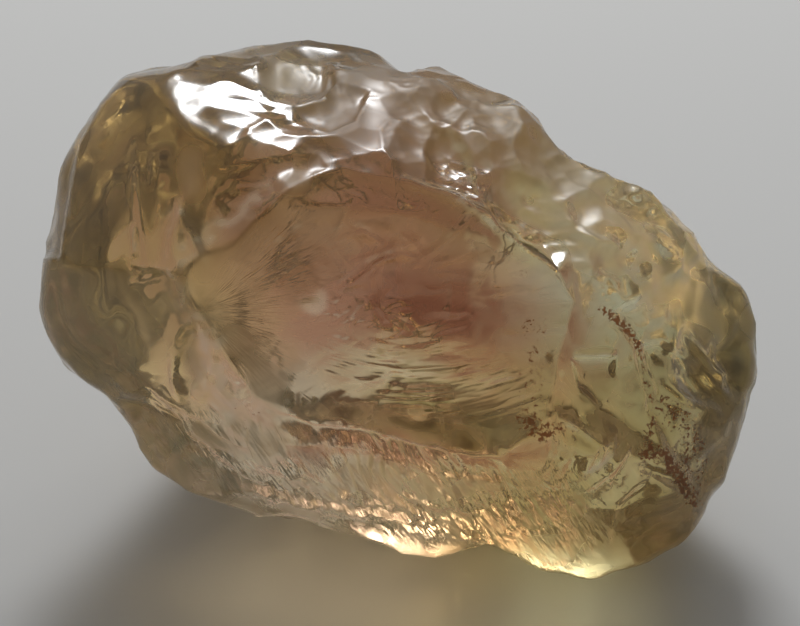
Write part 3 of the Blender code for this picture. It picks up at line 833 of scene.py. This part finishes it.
class Nodes:
    """Short names for making the nodes of a material or a world."""

    def __init__(self, tree):
        self.nodes = tree.nodes
        self.links = tree.links

    def put(self, socket, value):
        if isinstance(value, bpy.types.NodeSocket):
            self.links.new(value, socket)
        else:
            socket.default_value = value

    def coordinates(self, kind):
        return self.nodes.new("ShaderNodeTexCoord").outputs[kind]

    def attribute(self, name):
        node = self.nodes.new("ShaderNodeAttribute")
        node.attribute_name = name
        return node.outputs["Color"]

    def sums(self, operation, *values):
        node = self.nodes.new("ShaderNodeMath")
        node.operation = operation
        for socket, value in zip(node.inputs, values):
            self.put(socket, value)
        return node.outputs[0]

    def noise(self, vector, scale, detail, roughness):
        node = self.nodes.new("ShaderNodeTexNoise")
        for name, given in (("Vector", vector), ("Scale", scale), ("Detail", detail),
                            ("Roughness", roughness)):
            self.put(node.inputs[name], given)
        return node.outputs[0]

    def joined(self, *parts):
        node = self.nodes.new("ShaderNodeCombineXYZ")
        for socket, value in zip(node.inputs, parts):
            self.put(socket, value)
        return node.outputs[0]

    def parts(self, vector):
        node = self.nodes.new("ShaderNodeSeparateXYZ")
        self.put(node.inputs[0], vector)
        return node.outputs

    def ramp(self, value, low, high, out_low=0.0, out_high=1.0, kind="LINEAR"):
        node = self.nodes.new("ShaderNodeMapRange")
        node.interpolation_type = kind
        for name, given in (("Value", value), ("From Min", low), ("From Max", high),
                            ("To Min", out_low), ("To Max", out_high)):
            self.put(node.inputs[name], given)
        return node.outputs[0]

    def mix(self, share, a, b):
        """The colour b over the colour a."""
        node = self.nodes.new("ShaderNodeMix")
        node.data_type = "RGBA"
        for socket, value in ((node.inputs["Factor"], share), (node.inputs[6], a), (node.inputs[7], b)):
            self.put(socket, value)
        return node.outputs[2]

    def switch(self, share, a, b):
        """The place b instead of the place a."""
        node = self.nodes.new("ShaderNodeMix")
        node.data_type = "VECTOR"
        for socket, value in ((node.inputs["Factor"], share), (node.inputs[4], a), (node.inputs[5], b)):
            self.put(socket, value)
        return node.outputs[1]

    def crests(self, value):
        """Sharp crests where the noise crosses its middle, from 0 to 1."""
        return self.ramp(self.sums("ABSOLUTE", self.sums("SUBTRACT", value, 0.5)), 0.0, 0.3, 1.0, 0.0)

    def alone(self, mask, *others):
        """How much the first mask exceeds the others together."""
        for other in others:
            mask = self.sums("SUBTRACT", mask, other)
        return self.sums("MAXIMUM", mask, 0.0)

    def scaled(self, a, b, w, along, across):
        """The place a, b, w with its first two numbers multiplied."""
        return self.joined(self.sums("MULTIPLY", a, along), self.sums("MULTIPLY", b, across), w)

    def round_places(self, u, v, middle):
        """The angle and the distance from a point of the broad face."""
        du, dv = self.sums("SUBTRACT", u, middle[0]), self.sums("SUBTRACT", v, middle[1])
        squares = self.sums("ADD", self.sums("MULTIPLY", du, du), self.sums("MULTIPLY", dv, dv))
        return self.sums("ARCTAN2", dv, du), self.sums("SQRT", squares)

    def turned(self, u, v, degrees):
        """The distances along and across a direction turned from u."""
        c, s = math.cos(math.radians(degrees)), math.sin(math.radians(degrees))
        along = self.sums("ADD", self.sums("MULTIPLY", u, c), self.sums("MULTIPLY", v, s))
        return along, self.sums("SUBTRACT", self.sums("MULTIPLY", v, c), self.sums("MULTIPLY", u, s))


def stone_place(shader):
    """The place on the stone as u, v, w in millimetres."""
    c, s = math.cos(FACE_TILT), math.sin(FACE_TILT)
    node = shader.nodes.new("ShaderNodeMapping")
    shader.put(node.inputs["Vector"], shader.coordinates("Object"))
    node.inputs["Scale"].default_value = (1 / MM, 1 / MM, 1 / MM)
    node.inputs["Rotation"].default_value = (-FACE_TILT, 0, 0)
    node.inputs["Location"].default_value = (
        0, -c * CENTRE_SHIFT - s * REST_HEIGHT, s * CENTRE_SHIFT - c * REST_HEIGHT
    )
    return node.outputs["Vector"]


def fine_lines(shader, place):
    """The height of the finest lines, in millimetres: one noise, stretched to suit each region."""
    u, v, w = shader.parts(place)
    fan, streak, ripple = shader.parts(shader.attribute("marks"))
    # Hackle that fans out of the point where the scoop's break began
    hackle = shader.scaled(*shader.round_places(u, v, FAN_START), w, 15.0, 0.6)
    # Ripples in rings round the top of the scoop
    rings = shader.scaled(*shader.round_places(u, v, RING_MIDDLE), w, 2.0, 2.4)
    # Slanted streaks down the low band
    slanted = shader.scaled(*shader.turned(u, v, STREAK_TURN), w, 0.5, 3.2)
    lines = shader.switch(shader.sums("GREATER_THAN", ripple, fan), hackle, rings)
    either = shader.sums("MAXIMUM", fan, ripple)
    lines = shader.switch(shader.sums("GREATER_THAN", streak, either), lines, slanted)
    lines = shader.crests(shader.noise(lines, 1.0, 2.0, 0.55))
    depth = shader.sums("MULTIPLY", shader.alone(fan, ripple, streak), FAN_BUMP)
    depth = shader.sums("MULTIPLY_ADD", shader.alone(ripple, fan, streak), RIPPLE_BUMP, depth)
    depth = shader.sums("MULTIPLY_ADD", shader.alone(streak, ripple, fan), STREAK_BUMP, depth)
    return shader.sums("MULTIPLY", lines, depth)


def feldspar():
    material = bpy.data.materials.new("feldspar_fine")
    material.use_nodes = True
    shader = Nodes(material.node_tree)
    surface, output = shader.nodes["Principled BSDF"], shader.nodes["Material Output"]
    surface.inputs["Transmission Weight"].default_value = 1.0
    surface.inputs["IOR"].default_value = FELDSPAR_IOR
    place = stone_place(shader)
    rough, stain, painted_sheen = shader.parts(shader.attribute("cover"))

    bump = shader.nodes.new("ShaderNodeBump")
    bump.inputs["Distance"].default_value = MM
    bump.inputs["Strength"].default_value = 1.0
    shader.put(bump.inputs["Height"], fine_lines(shader, place))
    shader.put(surface.inputs["Normal"], bump.outputs["Normal"])

    # Rust sits in the stained places as specks and short smears
    specks = shader.noise(place, 6.5, 3.0, 0.8)
    reach = shader.ramp(stain, 0.0, 1.0, 0.74, 0.36)
    rust = shader.ramp(specks, reach, shader.sums("ADD", reach, 0.05))
    # The painted whitish sheen goes over the tint, and the rust over both
    colour = shader.mix(painted_sheen, shader.attribute("tint"), PAINTED_SHEEN_COLOUR)
    colour = shader.mix(rust, colour, RUST_COLOUR)
    rough = shader.sums("MAXIMUM", rough, shader.sums("MULTIPLY", rust, 0.7))
    shader.put(surface.inputs["Base Color"], colour)
    shader.put(surface.inputs["Roughness"], rough)

    absorb = shader.nodes.new("ShaderNodeVolumeAbsorption")
    absorb.inputs["Color"].default_value = DEPTH_COLOUR
    absorb.inputs["Density"].default_value = DEPTH_DENSITY
    shader.put(output.inputs["Volume"], absorb.outputs["Volume"])
    return material


def add_paper(scene):
    mesh = bpy.data.meshes.new("paper")
    half = PAPER_HALF
    corners = [(-half, -half, 0), (half, -half, 0), (half, half, 0), (-half, half, 0)]
    mesh.from_pydata(corners, [], [(0, 1, 2, 3)])
    sheet = bpy.data.objects.new("paper", mesh)
    scene.collection.objects.link(sheet)
    sheet.location.z = -PAPER_DROP
    material = bpy.data.materials.new("paper")
    material.use_nodes = True
    surface = material.node_tree.nodes["Principled BSDF"]
    surface.inputs["Base Color"].default_value = PAPER_COLOUR
    surface.inputs["Roughness"].default_value = PAPER_ROUGHNESS
    mesh.materials.append(material)


def add_light(scene, name, place, size, power, colour, aim):
    lamp = bpy.data.lights.new(name, "AREA")
    lamp.shape = "RECTANGLE"
    lamp.size, lamp.size_y = size
    lamp.energy = power
    lamp.color = colour
    holder = bpy.data.objects.new(name, lamp)
    scene.collection.objects.link(holder)
    holder.location = place
    holder.rotation_euler = (aim - Vector(place)).to_track_quat("-Z", "Y").to_euler()
    return holder


def add_room(scene):
    """A pale room all round, brighter towards the window."""
    world = bpy.data.worlds.new("room")
    scene.world = world
    world.use_nodes = True
    room = Nodes(world.node_tree)
    towards_window = room.parts(room.coordinates("Generated"))["Y"]
    background = room.nodes["Background"]
    brightness = room.ramp(towards_window, -0.2, 1.0, ROOM_DARK, ROOM_BRIGHT, "SMOOTHSTEP")
    room.put(background.inputs["Strength"], brightness)
    room.put(background.inputs["Color"], (1.0, 1.0, 1.0, 1.0))


def add_camera(scene, middle):
    """Looks squarely at the broad face, from the photograph's side."""
    look = math.pi / 2 - FACE_TILT
    camera = bpy.data.cameras.new("camera")
    camera.sensor_width = SENSOR_WIDTH
    camera.lens = SENSOR_WIDTH * CAMERA_DISTANCE / (PICTURE_WIDTH * LENGTH * MM / PIXELS_LONG)
    camera.shift_x = PIXELS_RIGHT / PICTURE_WIDTH
    camera.shift_y = -PIXELS_DOWN / PICTURE_WIDTH
    camera.clip_start = 0.001
    view = bpy.data.objects.new("camera", camera)
    scene.collection.objects.link(view)
    view.location = middle + Vector((0, -math.cos(look), math.sin(look))) * CAMERA_DISTANCE
    view.rotation_euler = (math.pi / 2 - look, 0, 0)
    scene.camera = view


def main():
    scene = bpy.context.scene
    stone = fine_stone()
    paint(stone)
    stone.data.materials.append(feldspar())
    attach(stone, "root")
    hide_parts("sunstone")

    middle = Vector((0, CENTRE_SHIFT * MM, REST_HEIGHT * MM))
    add_paper(scene)
    add_light(scene, "window", WINDOW_PLACE, WINDOW_SIZE, WINDOW_POWER, WINDOW_COLOUR, middle)
    curtain = add_light(
        scene, "curtain", CURTAIN_PLACE, CURTAIN_SIZE, CURTAIN_POWER, CURTAIN_COLOUR, middle
    )
    curtain.visible_glossy = False
    add_room(scene)
    add_camera(scene, middle)
    scene.view_settings.view_transform = "Standard"


main()
